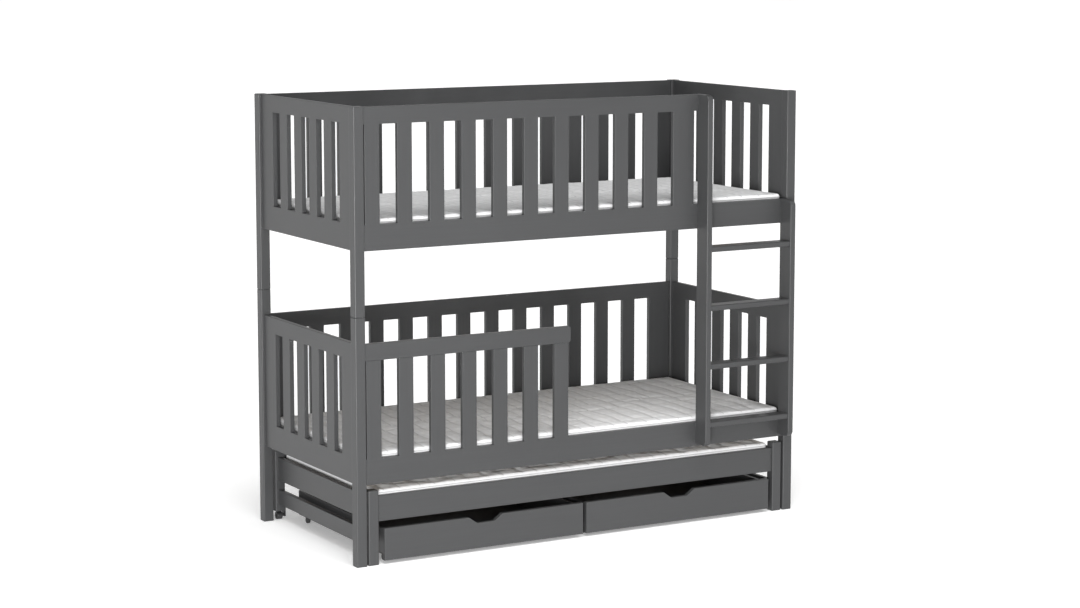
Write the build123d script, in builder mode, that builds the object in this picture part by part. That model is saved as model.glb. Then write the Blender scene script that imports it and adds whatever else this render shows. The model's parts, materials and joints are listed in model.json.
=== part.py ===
from build123d import *
import os

os.makedirs("parts", exist_ok=True)

# Bunk bed with a pull-out trundle bed and two rolling drawers, in millimetres.
# Z is up, the length runs along X and the front faces -Y.
# The origin lies on the floor, in the middle of the footprint of the frame with its ladder.

# Frame
frame_length = 1880.0
frame_width = 860.0
post_size = 40.0
post_round = 4.0
post_end_chamfer = 2.0
lower_post_above_panel = 95.5
upper_post_above_panel = 1.5
post_dowel_radius = 6.0
post_dowel_length = 60.0
post_dowel_clearance = 0.1
post_dowel_end_clearance = 1.0

# Boards of the side panels
board_thickness = 18.0
board_round = 2.0
front_recess = 5.0
panel_recess = 11.0
lower_rail_bottom = 294.5
bunk_gap = 328.5
rail_height = 93.0
slot_height = 352.5
top_rail_height = 61.5

# Dowels between the boards and the posts
rail_dowel_radius = 4.0
rail_dowel_length = 30.0
rail_dowel_clearance = 0.1
rail_dowel_end_clearance = 1.0
long_board_dowel_shares = (0.22, 0.68)
end_board_dowel_shares = (0.36, 0.84)

# Upright slats
slat_pitch = 128.0
slat_width = 58.0
end_slat_width = 62.0
slat_round = 1.5
stile_least_width = 80.0
guard_post_gap = 4.5
lower_guard_slat_count = 7
lower_guard_overhang = 11.0
lower_guard_end_round = 12.0
guard_ladder_gap = 16.0
guard_ladder_overlap = 20.0

# Ladder
ladder_width = 405.0
ladder_post_gap = 2.0
stile_thickness = 23.0
stile_depth = 70.0
stile_round = 3.0
stile_corner_round = 28.0
stile_foot_above_rail = 9.0
stile_top_above_upper_rail = 1.0
rung_count = 4
first_rung_above_foot = 70.5
last_rung_below_rail = 85.0
rung_thickness = 21.0
rung_depth = 60.0
rung_round = 6.0
rung_setback = 4.0
ladder_bolt_radius = 3.0
ladder_bolt_grip = 40.0
ladder_bolt_head_radius = 6.5
ladder_bolt_head_height = 2.5
ladder_bolt_clearance = 0.2
ladder_bolt_end_clearance = 1.0
ladder_bolt_height_shares = (0.48, 0.86)

# Slatted bases
ledge_width = 20.0
ledge_height = 20.0
ledge_end_gap = 40.0
base_slat_thickness = 14.0
base_slat_width = 68.0
base_slat_gap = 62.0
base_slat_side_gap = 3.0
base_slat_end_gap = 30.0
base_slat_round = 2.0

# Mattresses
mattress_thickness = 77.0
mattress_crown = 4.0
mattress_top_round = 14.0
mattress_bottom_round = 6.0
mattress_side_draw = 2.5
mattress_width_gap = 5.0
trundle_mattress_width_gap = 2.0
mattress_end_gap = 2.0
mattress_base_clearance = 0.3
channel_pitch = 72.0
channel_width = 6.0
channel_depth = 2.5

# Trundle
trundle_side_gap = 8.0
trundle_front_recess = 3.0
trundle_back_recess = 2.0
trundle_top_gap = 22.5
trundle_leg_above_rail = 22.5
trundle_rail_recess = 9.0
trundle_end_recess = 12.0
trundle_high_board_height = 89.5
trundle_low_board_height = 57.0
trundle_end_slot_height = 37.5

# Casters under the back of the trundle
caster_radius = 15.0
caster_width = 22.0
caster_top_clearance = 4.0
caster_edge_round = 2.0
caster_axle_radius = 3.0
caster_running_clearance = 0.06
caster_side_clearance = 0.4
caster_spacer_radius = 5.5
caster_cap_height = 2.0
caster_plate_thickness = 3.0
caster_plate_width = 30.0
caster_plate_above_leg_bottom = 60.0
caster_screw_radius = 4.0
caster_screw_height = 2.0
caster_screw_height_shares = (0.35, 0.8)

# Drawers
drawer_proud = 3.0
drawer_leg_gap = 21.0
drawer_middle_gap = 15.0
drawer_front_bottom = 13.0
drawer_top_gap = 25.5
drawer_front_thickness = 18.0
drawer_front_round = 1.5
notch_top_width = 140.0
notch_bottom_width = 72.0
notch_depth = 24.0
notch_round = 10.0
drawer_box_inset = 9.0
drawer_back_gap = 98.0
drawer_side_thickness = 12.0
drawer_side_drop = 8.5
drawer_joint_gap = 0.1
drawer_bottom_thickness = 6.0
drawer_wheel_radius = 12.0
drawer_wheel_width = 12.0
drawer_wheel_edge_round = 1.5
drawer_wheel_inset = 18.0
drawer_wheel_end_inset = 43.0
drawer_axle_radius = 2.0
drawer_wheel_running_clearance = 0.06
drawer_wheel_side_clearance = 0.4
drawer_wheel_top_clearance = 2.0
fork_plate_thickness = 2.0
fork_plate_length = 34.0
fork_cheek_thickness = 1.5
fork_cheek_width = 12.0
fork_cheek_below_axle = 5.0

cut_overrun = 1.0

# Planes of the frame
left = -frame_length / 2
right = frame_length / 2
ladder_reach = stile_depth - front_recess
front = -(frame_width - ladder_reach) / 2
back = front + frame_width
inner_left = left + post_size
inner_right = right - post_size
inner_front = front + post_size
inner_back = back - post_size
top_rail_offset = rail_height + slot_height
panel_height = top_rail_offset + top_rail_height
upper_rail_bottom = lower_rail_bottom + panel_height + bunk_gap
rail_bottoms = (lower_rail_bottom, upper_rail_bottom)
lower_post_top = lower_rail_bottom + panel_height + lower_post_above_panel
upper_post_top = upper_rail_bottom + panel_height + upper_post_above_panel
front_board_y = front + front_recess
back_board_y = back - panel_recess - board_thickness
left_board_x = left + panel_recess
right_board_x = right - panel_recess - board_thickness
board_edge = min(board_round, board_thickness / 3)
slat_edge = min(slat_round, board_thickness / 3)
rail_socket_depth = rail_dowel_length / 2 + rail_dowel_end_clearance

# Planes of the ladder
ladder_right = inner_right - ladder_post_gap
ladder_left = ladder_right - ladder_width
stile_front = front_board_y - stile_depth
left_stile_x = ladder_left + stile_thickness / 2
right_stile_x = ladder_right - stile_thickness / 2
stile_bottom = lower_rail_bottom + stile_foot_above_rail
first_rung_bottom = stile_bottom + first_rung_above_foot
last_rung_bottom = upper_rail_bottom - last_rung_below_rail
rung_pitch = (last_rung_bottom - first_rung_bottom) / (rung_count - 1)

# Planes of the trundle
trundle_left = inner_left + trundle_side_gap
trundle_right = inner_right - trundle_side_gap
trundle_front = front + trundle_front_recess
trundle_back = back - trundle_back_recess
trundle_inner_left = trundle_left + post_size
trundle_inner_right = trundle_right - post_size
trundle_front_board_y = trundle_front + trundle_rail_recess
trundle_back_board_y = trundle_back - trundle_rail_recess - board_thickness
trundle_leg_top = lower_rail_bottom - trundle_top_gap
trundle_rail_bottom = trundle_leg_top - trundle_leg_above_rail - rail_height
trundle_low_board_bottom = trundle_rail_bottom - trundle_end_slot_height - trundle_low_board_height
trundle_back_leg_bottom = 2 * caster_radius + caster_top_clearance

# Planes of the drawers
drawer_front_y = trundle_front - drawer_proud
drawer_box_y = drawer_front_y + drawer_front_thickness
drawer_inner_span = trundle_inner_right - trundle_inner_left
drawer_front_width = (drawer_inner_span - 2 * drawer_leg_gap - drawer_middle_gap) / 2
drawer_front_height = trundle_rail_bottom - drawer_top_gap - drawer_front_bottom
drawer_box_width = drawer_front_width - 2 * drawer_box_inset
drawer_box_depth = trundle_back - drawer_back_gap - drawer_box_y
drawer_centre_offset = (drawer_front_width + drawer_middle_gap) / 2
drawer_bottom_z = 2 * drawer_wheel_radius + drawer_wheel_top_clearance + fork_plate_thickness
drawer_wall_bottom = drawer_bottom_z + drawer_bottom_thickness
drawer_side_height = drawer_front_bottom + drawer_front_height - drawer_side_drop - drawer_wall_bottom


def save(piece, name):
    piece.part.label = name
    export_step(piece.part, f"parts/{name}.step")


def plane_at_y(y):
    # Upright plane that faces the front, so a positive extrusion comes forward
    return Plane.XZ.offset(-y)


def plane_at_x(x):
    # Upright plane that faces right, so a positive extrusion goes right
    return Plane.YZ.offset(x)


def board_section(centre, height, eased_edges):
    # Section of a board on edge, with its top, bottom or all four long edges eased
    with Locations(centre):
        Rectangle(board_thickness, height)
    rows = vertices().group_by(Axis.Y)
    corners = {"top": rows[-1], "bottom": rows[0], "all": vertices()}[eased_edges]
    fillet(corners, board_edge)


def board_along_x(x_start, x_end, y_front, z_bottom, height, eased_edges, has_right_post=True):
    centre = (y_front + board_thickness / 2, z_bottom + height / 2)
    with BuildSketch(plane_at_x(x_start)) as section:
        board_section(centre, height, eased_edges)
    extrude(section.sketch, amount=x_end - x_start)
    heights = dowel_heights(z_bottom, height, long_board_dowel_shares)
    drill_along_x(x_start, 1, y_front + board_thickness / 2, heights)
    if has_right_post:
        drill_along_x(x_end, -1, y_front + board_thickness / 2, heights)


def board_along_y(y_start, y_end, x_low, z_bottom, height, eased_edges):
    centre = (x_low + board_thickness / 2, z_bottom + height / 2)
    with BuildSketch(plane_at_y(y_end)) as section:
        board_section(centre, height, eased_edges)
    extrude(section.sketch, amount=y_end - y_start)
    heights = dowel_heights(z_bottom, height, end_board_dowel_shares)
    drill_along_y(y_start, 1, x_low + board_thickness / 2, heights)
    drill_along_y(y_end, -1, x_low + board_thickness / 2, heights)


def dowel_heights(board_bottom, height, shares):
    return [board_bottom + height * share for share in shares]


def drill_along_x(x_face, direction, y, heights):
    # Dowel sockets that run from a face along X
    with BuildSketch(plane_at_x(x_face)) as sockets:
        with Locations(*[(y, z) for z in heights]):
            Circle(rail_dowel_radius + rail_dowel_clearance)
    extrude(sockets.sketch, amount=direction * rail_socket_depth, mode=Mode.SUBTRACT)


def drill_along_y(y_face, direction, x, heights):
    # Dowel sockets that run from a face along Y
    with BuildSketch(plane_at_y(y_face)) as sockets:
        with Locations(*[(x, z) for z in heights]):
            Circle(rail_dowel_radius + rail_dowel_clearance)
    extrude(sockets.sketch, amount=-direction * rail_socket_depth, mode=Mode.SUBTRACT)


def add_dowels_along_x(x_joint, y, heights):
    with BuildSketch(plane_at_x(x_joint)) as pins:
        with Locations(*[(y, z) for z in heights]):
            Circle(rail_dowel_radius)
    extrude(pins.sketch, amount=rail_dowel_length / 2, both=True)


def add_dowels_along_y(y_joint, x, heights):
    with BuildSketch(plane_at_y(y_joint)) as pins:
        with Locations(*[(x, z) for z in heights]):
            Circle(rail_dowel_radius)
    extrude(pins.sketch, amount=rail_dowel_length / 2, both=True)


def slat_places(first, last, y):
    # Evenly pitched slat centres from the first to the last, along X
    count = round((last - first) / slat_pitch) + 1
    return [(first + slat_pitch * index, y) for index in range(count)]


def slot_half_count(half_span, slot_width):
    # Slots on each side of the middle one that leave room for the end stiles
    return int((half_span - stile_least_width - slot_width / 2) // slat_pitch)


# Posts

def panel_boards(rail_bottom):
    # Bottom and height of the two lengthwise boards of a panel
    return [(rail_bottom, rail_height), (rail_bottom + top_rail_offset, top_rail_height)]


def panel_dowel_heights(boards, shares):
    return [z for bottom, height in boards for z in dowel_heights(bottom, height, shares)]


def make_post(row, side, level):
    x = left + post_size / 2 if side == "left" else right - post_size / 2
    y = front + post_size / 2 if row == "front" else back - post_size / 2
    bottom = 0 if level == "lower" else lower_post_top
    top = lower_post_top if level == "lower" else upper_post_top
    rail_bottom = lower_rail_bottom if level == "lower" else upper_rail_bottom
    x_out = -1 if side == "left" else 1
    y_out = -1 if row == "front" else 1
    long_board_y = front_board_y if row == "front" else back_board_y
    end_board_x = left_board_x if side == "left" else right_board_x
    boards = panel_boards(rail_bottom)
    long_boards = boards[:1] if (row, side) == ("front", "right") else boards
    with BuildPart() as post:
        with BuildSketch(Plane.XY.offset(bottom)):
            with Locations((x, y)):
                RectangleRounded(post_size, post_size, post_round)
        extrude(amount=top - bottom)
        chamfer(faces().filter_by(Axis.Z).edges(), post_end_chamfer)
        drill_along_x(
            x - x_out * post_size / 2,
            x_out,
            long_board_y + board_thickness / 2,
            panel_dowel_heights(long_boards, long_board_dowel_shares),
        )
        drill_along_y(
            y - y_out * post_size / 2,
            y_out,
            end_board_x + board_thickness / 2,
            panel_dowel_heights(boards, end_board_dowel_shares),
        )
        socket_depth = post_dowel_length / 2 + post_dowel_end_clearance
        socket_bottom = top - socket_depth if level == "lower" else bottom
        with BuildSketch(Plane.XY.offset(socket_bottom)):
            with Locations((x, y)):
                Circle(post_dowel_radius + post_dowel_clearance)
        extrude(amount=socket_depth, mode=Mode.SUBTRACT)
    save(post, f"{level}_post_{row}_{side}")


def make_post_dowels():
    x_span = frame_length - post_size
    y_span = frame_width - post_size
    with BuildPart() as dowels:
        with BuildSketch(Plane.XY.offset(lower_post_top)):
            with Locations((0, (front + back) / 2)):
                with GridLocations(x_span, y_span, 2, 2):
                    Circle(post_dowel_radius)
        extrude(amount=post_dowel_length / 2, both=True)
        chamfer(faces().filter_by(Axis.Z).edges(), post_dowel_end_clearance)
    save(dowels, "post_dowels")


def make_rail_dowels():
    front_y = front_board_y + board_thickness / 2
    back_y = back_board_y + board_thickness / 2
    with BuildPart() as dowels:
        for rail_bottom in rail_bottoms:
            boards = panel_boards(rail_bottom)
            long_heights = panel_dowel_heights(boards, long_board_dowel_shares)
            rail_heights = panel_dowel_heights(boards[:1], long_board_dowel_shares)
            end_heights = panel_dowel_heights(boards, end_board_dowel_shares)
            add_dowels_along_x(inner_left, front_y, long_heights)
            add_dowels_along_x(inner_right, front_y, rail_heights)
            add_dowels_along_x(inner_left, back_y, long_heights)
            add_dowels_along_x(inner_right, back_y, long_heights)
            for board_x in (left_board_x, right_board_x):
                for y_joint in (inner_front, inner_back):
                    add_dowels_along_y(y_joint, board_x + board_thickness / 2, end_heights)
    save(dowels, "rail_dowels")


def make_posts():
    for level in ("lower", "upper"):
        for row in ("front", "back"):
            for side in ("left", "right"):
                make_post(row, side, level)
    make_post_dowels()
    make_rail_dowels()


# Front panels, each a bottom rail with a guard on it

def ladder_bolt_heights(rail_bottom):
    return [rail_bottom + rail_height * share for share in ladder_bolt_height_shares]


def guard_bolt_height():
    return upper_rail_bottom + top_rail_offset + top_rail_height / 2


def cut_ladder_bolt_holes(places):
    # Clearance holes through a front board, at places in X and Z
    with BuildSketch(plane_at_y(front_board_y + board_thickness)) as holes:
        with Locations(*places):
            Circle(ladder_bolt_radius + ladder_bolt_clearance)
    extrude(holes.sketch, amount=board_thickness, mode=Mode.SUBTRACT)


def make_front_rails():
    for level, rail_bottom in zip(("lower", "upper"), rail_bottoms):
        with BuildPart() as rail:
            board_along_x(inner_left, inner_right, front_board_y, rail_bottom, rail_height, "bottom")
            heights = ladder_bolt_heights(rail_bottom)
            cut_ladder_bolt_holes([(x, z) for x in (left_stile_x, right_stile_x) for z in heights])
        save(rail, f"{level}_front_rail")


def first_guard_slat_x():
    return inner_left + guard_post_gap + slat_width / 2


def front_slat_y():
    return front_board_y + board_thickness / 2


def make_lower_guard():
    last_x = first_guard_slat_x() + slat_pitch * (lower_guard_slat_count - 1)
    guard_end = last_x + slat_width / 2 + lower_guard_overhang
    top_rail_bottom = lower_rail_bottom + top_rail_offset
    with BuildPart() as top_rail:
        with BuildSketch(plane_at_y(front_board_y + board_thickness)):
            with Locations(((inner_left + guard_end) / 2, top_rail_bottom + top_rail_height / 2)):
                Rectangle(guard_end - inner_left, top_rail_height)
            fillet(vertices().group_by(Axis.X)[-1], min(lower_guard_end_round, top_rail_height / 3))
        extrude(amount=board_thickness)
        rim = edges().filter_by(Plane.XZ)
        free_rim = rim - rim.group_by(Axis.Z)[0] - rim.group_by(Axis.X)[0]
        fillet(free_rim, board_edge)
        heights = dowel_heights(top_rail_bottom, top_rail_height, long_board_dowel_shares)
        drill_along_x(inner_left, 1, front_slat_y(), heights)
    save(top_rail, "lower_guard_rail")
    with BuildPart() as slats:
        with BuildSketch(Plane.XY.offset(lower_rail_bottom + rail_height)):
            with Locations(*slat_places(first_guard_slat_x(), last_x, front_slat_y())):
                RectangleRounded(slat_width, board_thickness, slat_edge)
        extrude(amount=slot_height)
    save(slats, "lower_guard_slats")


def make_upper_guard():
    stile_right = ladder_left - guard_ladder_gap
    first_slat_left = inner_left + guard_post_gap
    slat_count = int((stile_right - stile_least_width - first_slat_left) // slat_pitch)
    stile_left = first_slat_left + slat_pitch * slat_count
    last_x = first_guard_slat_x() + slat_pitch * (slat_count - 1)
    top_rail_bottom = upper_rail_bottom + top_rail_offset
    with BuildPart() as top_rail:
        rail_end = ladder_left + guard_ladder_overlap
        board_along_x(
            inner_left, rail_end, front_board_y, top_rail_bottom, top_rail_height, "top", has_right_post=False
        )
        cut_ladder_bolt_holes([(left_stile_x, guard_bolt_height())])
    save(top_rail, "upper_guard_rail")
    with BuildPart() as slats:
        with BuildSketch(Plane.XY.offset(upper_rail_bottom + rail_height)):
            with Locations(*slat_places(first_guard_slat_x(), last_x, front_slat_y())):
                RectangleRounded(slat_width, board_thickness, slat_edge)
            with Locations(((stile_left + stile_right) / 2, front_slat_y())):
                RectangleRounded(stile_right - stile_left, board_thickness, slat_edge)
        extrude(amount=slot_height)
    save(slats, "upper_guard_slats")


# Back panels and end panels, with wide stiles against the posts

def panel_slat_spans(half_span, width):
    # Low and high edges of every slat about the panel's middle, end stiles included
    slot_width = slat_pitch - width
    half_count = slot_half_count(half_span, slot_width)
    slot_middles = [slat_pitch * index for index in range(-half_count, half_count + 1)]
    low_edges = [-half_span] + [middle + slot_width / 2 for middle in slot_middles]
    high_edges = [middle - slot_width / 2 for middle in slot_middles] + [half_span]
    return list(zip(low_edges, high_edges))


def make_back_panels():
    slat_y = back_board_y + board_thickness / 2
    for level, rail_bottom in zip(("lower", "upper"), rail_bottoms):
        top_rail_bottom = rail_bottom + top_rail_offset
        with BuildPart() as rails:
            board_along_x(inner_left, inner_right, back_board_y, rail_bottom, rail_height, "bottom")
            board_along_x(inner_left, inner_right, back_board_y, top_rail_bottom, top_rail_height, "top")
        save(rails, f"{level}_back_rails")
        with BuildPart() as slats:
            with BuildSketch(Plane.XY.offset(rail_bottom + rail_height)):
                for low, high in panel_slat_spans(inner_right, slat_width):
                    with Locations(((low + high) / 2, slat_y)):
                        RectangleRounded(high - low, board_thickness, slat_edge)
            extrude(amount=slot_height)
        save(slats, f"{level}_back_slats")


def make_end_panels():
    middle_y = (front + back) / 2
    half_span = (inner_back - inner_front) / 2
    for side, board_x in (("left", left_board_x), ("right", right_board_x)):
        with BuildPart() as rails:
            for rail_bottom in rail_bottoms:
                top_rail_bottom = rail_bottom + top_rail_offset
                board_along_y(inner_front, inner_back, board_x, rail_bottom, rail_height, "bottom")
                board_along_y(inner_front, inner_back, board_x, top_rail_bottom, top_rail_height, "top")
        save(rails, f"{side}_end_rails")
        with BuildPart() as slats:
            for rail_bottom in rail_bottoms:
                with BuildSketch(Plane.XY.offset(rail_bottom + rail_height)):
                    for low, high in panel_slat_spans(half_span, end_slat_width):
                        with Locations((board_x + board_thickness / 2, middle_y + (low + high) / 2)):
                            RectangleRounded(board_thickness, high - low, slat_edge)
                extrude(amount=slot_height)
        save(slats, f"{side}_end_slats")


# Ladder

def make_stile(name, x_middle, top, bolt_heights):
    # Upright board whose free front corners are rounded in side view
    with BuildPart() as stile:
        with BuildSketch(plane_at_x(x_middle)):
            with Locations((stile_front + stile_depth / 2, (stile_bottom + top) / 2)):
                Rectangle(stile_depth, top - stile_bottom)
            fillet(vertices().group_by(Axis.X)[0], min(stile_corner_round, stile_depth / 3))
        extrude(amount=stile_thickness / 2, both=True)
        front_edges = edges().group_by(Axis.Y)[0]
        fillet(front_edges, min(stile_round, stile_thickness / 3))
        hole_depth = ladder_bolt_grip + ladder_bolt_end_clearance
        with BuildSketch(plane_at_y(front_board_y)):
            with Locations(*[(x_middle, z) for z in bolt_heights]):
                Circle(ladder_bolt_radius + ladder_bolt_clearance)
        extrude(amount=hole_depth, mode=Mode.SUBTRACT)
    save(stile, name)


def make_ladder():
    rail_bolts = ladder_bolt_heights(lower_rail_bottom) + ladder_bolt_heights(upper_rail_bottom)
    left_bolts = rail_bolts + [guard_bolt_height()]
    left_top = upper_rail_bottom + panel_height
    right_top = upper_rail_bottom + rail_height + stile_top_above_upper_rail
    make_stile("ladder_left_stile", left_stile_x, left_top, left_bolts)
    make_stile("ladder_right_stile", right_stile_x, right_top, rail_bolts)
    rung_length = ladder_width - 2 * stile_thickness
    rung_y = stile_front + rung_setback + rung_depth / 2
    with BuildPart() as rungs:
        for index in range(rung_count):
            rung_z = first_rung_bottom + rung_pitch * index + rung_thickness / 2
            with BuildSketch(plane_at_x(ladder_left + stile_thickness)):
                with Locations((rung_y, rung_z)):
                    RectangleRounded(rung_depth, rung_thickness, min(rung_round, rung_thickness / 3))
            extrude(amount=rung_length)
    save(rungs, "ladder_rungs")
    bolt_places = [(left_stile_x, z) for z in left_bolts] + [(right_stile_x, z) for z in rail_bolts]
    board_back = front_board_y + board_thickness
    with BuildPart() as bolts:
        with BuildSketch(plane_at_y(board_back + ladder_bolt_head_height)):
            with Locations(*bolt_places):
                Circle(ladder_bolt_head_radius)
        extrude(amount=ladder_bolt_head_height)
        with BuildSketch(plane_at_y(board_back)):
            with Locations(*bolt_places):
                Circle(ladder_bolt_radius)
        extrude(amount=board_thickness + ladder_bolt_grip)
    save(bolts, "ladder_bolts")


# Slatted bases and mattresses

def base_slat_top(rail_bottom):
    return rail_bottom + ledge_height + base_slat_thickness


def add_ledges(x_low, x_high, y_low, y_high, rail_bottom):
    # Strips along the inner faces of the front and back rails, which carry the slats
    length = x_high - x_low - 2 * ledge_end_gap
    with BuildSketch(Plane.XY.offset(rail_bottom)) as strips:
        with Locations(
            ((x_low + x_high) / 2, y_low + ledge_width / 2),
            ((x_low + x_high) / 2, y_high - ledge_width / 2),
        ):
            Rectangle(length, ledge_width)
    extrude(strips.sketch, amount=ledge_height)


def make_base_slats(name, x_low, x_high, y_low, y_high, rail_bottom):
    span = x_high - x_low - 2 * base_slat_end_gap
    count = int((span + base_slat_gap) // (base_slat_width + base_slat_gap))
    pitch = (span - base_slat_width) / (count - 1)
    depth = y_high - y_low - 2 * base_slat_side_gap
    with BuildPart() as slats:
        with BuildSketch(Plane.XY.offset(rail_bottom + ledge_height)):
            with Locations(((x_low + x_high) / 2, (y_low + y_high) / 2)):
                with GridLocations(pitch, depth, count, 1):
                    Rectangle(base_slat_width, depth)
        extrude(amount=base_slat_thickness)
        fillet(edges().filter_by(Axis.Y), base_slat_round)
    save(slats, name)


def mattress_sides(low, high, bottom):
    # Flat bottom with a bevel at each edge, and drawn-in sides up to the shoulders
    shoulder = bottom + mattress_thickness - mattress_top_round
    waist = (bottom + mattress_bottom_round + shoulder) / 2
    Line((low + mattress_bottom_round, bottom), (high - mattress_bottom_round, bottom))
    for edge, inward in ((low, 1), (high, -1)):
        heel = (edge, bottom + mattress_bottom_round)
        Line((edge + inward * mattress_bottom_round, bottom), heel)
        ThreePointArc(heel, (edge + inward * mattress_side_draw, waist), (edge, shoulder))


def mattress_top(low, high, bottom, depth):
    # Rounded shoulders and a crown between them, lowered by a depth
    shoulder = bottom + mattress_thickness - mattress_top_round
    top = bottom + mattress_thickness - depth
    for edge, inward in ((low, 1), (high, -1)):
        start = (edge + inward * depth, shoulder)
        end = (edge + inward * mattress_top_round, top)
        RadiusArc(start, end, inward * (mattress_top_round - depth))
    crown = ((low + high) / 2, top + mattress_crown)
    ThreePointArc((low + mattress_top_round, top), crown, (high - mattress_top_round, top))


def mattress_end_outline(length, bottom):
    # Side view with drawn-in ends, whose shoulders lean in to just above the crown
    low = -length / 2
    high = length / 2
    shoulder = bottom + mattress_thickness - mattress_top_round
    lean = mattress_top_round / 3
    peak = bottom + mattress_thickness + mattress_crown + cut_overrun
    with BuildLine() as outline:
        mattress_sides(low, high, bottom)
        for edge, inward in ((low, 1), (high, -1)):
            middle = (edge + inward * lean, (shoulder + peak) / 2 + lean / 2)
            ThreePointArc((edge, shoulder), middle, (edge + inward * mattress_top_round, peak))
        Line((low + mattress_top_round, peak), (high - mattress_top_round, peak))
    make_face(outline.edges())


def mattress_groove_outline(low, high, bottom):
    # Everything above a quilted channel's floor
    shoulder = bottom + mattress_thickness - mattress_top_round
    peak = bottom + mattress_thickness + mattress_crown + cut_overrun
    with BuildLine() as outline:
        mattress_top(low, high, bottom, channel_depth)
        Polyline(
            (low + channel_depth, shoulder),
            (low - cut_overrun, shoulder),
            (low - cut_overrun, peak),
            (high + cut_overrun, peak),
            (high + cut_overrun, shoulder),
            (high - channel_depth, shoulder),
        )
    make_face(outline.edges())


def channel_places(length):
    # Evenly pitched channels between the rounded ends
    span = length - 2 * mattress_top_round
    count = max(1, round(span / channel_pitch))
    return [(span * (index / count - 1 / 2), 0) for index in range(1, count)]


def make_mattress(name, length, y_low, y_high, width_gap, rail_bottom):
    bottom = base_slat_top(rail_bottom) + mattress_base_clearance
    low = y_low + width_gap
    high = y_high - width_gap
    with BuildPart() as groove:
        with BuildSketch(Plane.YZ):
            mattress_groove_outline(low, high, bottom)
        extrude(amount=channel_width / 2, both=True)
    with BuildPart() as mattress:
        with BuildSketch(Plane.YZ):
            with BuildLine() as outline:
                mattress_sides(low, high, bottom)
                mattress_top(low, high, bottom, 0)
            make_face(outline.edges())
        extrude(amount=length / 2 + cut_overrun, both=True)
        with BuildSketch(plane_at_y(high + cut_overrun)):
            mattress_end_outline(length, bottom)
        extrude(amount=high - low + 2 * cut_overrun, mode=Mode.INTERSECT)
        with Locations(*channel_places(length)):
            add(groove.part, mode=Mode.SUBTRACT)
    save(mattress, name)


def make_bunks():
    y_low = front_board_y + board_thickness
    y_high = back_board_y
    with BuildPart() as ledges:
        for rail_bottom in rail_bottoms:
            add_ledges(inner_left, inner_right, y_low, y_high, rail_bottom)
    save(ledges, "bed_ledges")
    mattress_length = inner_right - inner_left - 2 * mattress_end_gap
    for level, rail_bottom in zip(("lower", "upper"), rail_bottoms):
        make_base_slats(f"{level}_base_slats", inner_left, inner_right, y_low, y_high, rail_bottom)
        make_mattress(f"{level}_mattress", mattress_length, y_low, y_high, mattress_width_gap, rail_bottom)


# Trundle

def trundle_end_boards():
    # Bottom and height of the two boards at each end of the trundle
    return [
        (trundle_rail_bottom, trundle_high_board_height),
        (trundle_low_board_bottom, trundle_low_board_height),
    ]


def trundle_end_board_xs():
    return {
        -1: trundle_left + trundle_end_recess,
        1: trundle_right - trundle_end_recess - board_thickness,
    }


def make_trundle_legs():
    rows = {
        "front": (trundle_front + post_size / 2, 0, -1, trundle_front_board_y),
        "back": (trundle_back - post_size / 2, trundle_back_leg_bottom, 1, trundle_back_board_y),
    }
    rail_heights = dowel_heights(trundle_rail_bottom, rail_height, long_board_dowel_shares)
    end_heights = panel_dowel_heights(trundle_end_boards(), end_board_dowel_shares)
    for row, (y, leg_bottom, y_out, board_y) in rows.items():
        with BuildPart() as legs:
            with BuildSketch(Plane.XY.offset(leg_bottom)):
                with Locations((trundle_left + post_size / 2, y), (trundle_right - post_size / 2, y)):
                    RectangleRounded(post_size, post_size, post_round)
            extrude(amount=trundle_leg_top - leg_bottom)
            chamfer(faces().filter_by(Axis.Z).edges(), post_end_chamfer)
            drill_along_x(trundle_inner_left, -1, board_y + board_thickness / 2, rail_heights)
            drill_along_x(trundle_inner_right, 1, board_y + board_thickness / 2, rail_heights)
            for board_x in trundle_end_board_xs().values():
                y_joint = y - y_out * post_size / 2
                drill_along_y(y_joint, y_out, board_x + board_thickness / 2, end_heights)
        save(legs, f"trundle_{row}_legs")


def make_trundle_boards():
    board_ys = (trundle_front_board_y, trundle_back_board_y)
    y_start = trundle_front + post_size
    y_end = trundle_back - post_size
    with BuildPart() as rails:
        for board_y in board_ys:
            board_along_x(
                trundle_inner_left, trundle_inner_right, board_y, trundle_rail_bottom, rail_height, "all"
            )
    save(rails, "trundle_rails")
    with BuildPart() as boards:
        for board_x in trundle_end_board_xs().values():
            for bottom, height in trundle_end_boards():
                board_along_y(y_start, y_end, board_x, bottom, height, "all")
    save(boards, "trundle_end_boards")
    rail_heights = dowel_heights(trundle_rail_bottom, rail_height, long_board_dowel_shares)
    end_heights = panel_dowel_heights(trundle_end_boards(), end_board_dowel_shares)
    with BuildPart() as dowels:
        for board_y in board_ys:
            for x_joint in (trundle_inner_left, trundle_inner_right):
                add_dowels_along_x(x_joint, board_y + board_thickness / 2, rail_heights)
        for board_x in trundle_end_board_xs().values():
            for y_joint in (y_start, y_end):
                add_dowels_along_y(y_joint, board_x + board_thickness / 2, end_heights)
    save(dowels, "trundle_dowels")


def make_trundle_bed():
    y_low = trundle_front_board_y + board_thickness
    y_high = trundle_back_board_y
    with BuildPart() as ledges:
        add_ledges(trundle_inner_left, trundle_inner_right, y_low, y_high, trundle_rail_bottom)
    save(ledges, "trundle_ledges")
    make_base_slats(
        "trundle_base_slats", trundle_inner_left, trundle_inner_right, y_low, y_high, trundle_rail_bottom
    )
    length = trundle_inner_right - trundle_inner_left - 2 * mattress_end_gap
    make_mattress("trundle_mattress", length, y_low, y_high, trundle_mattress_width_gap, trundle_rail_bottom)


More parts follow.
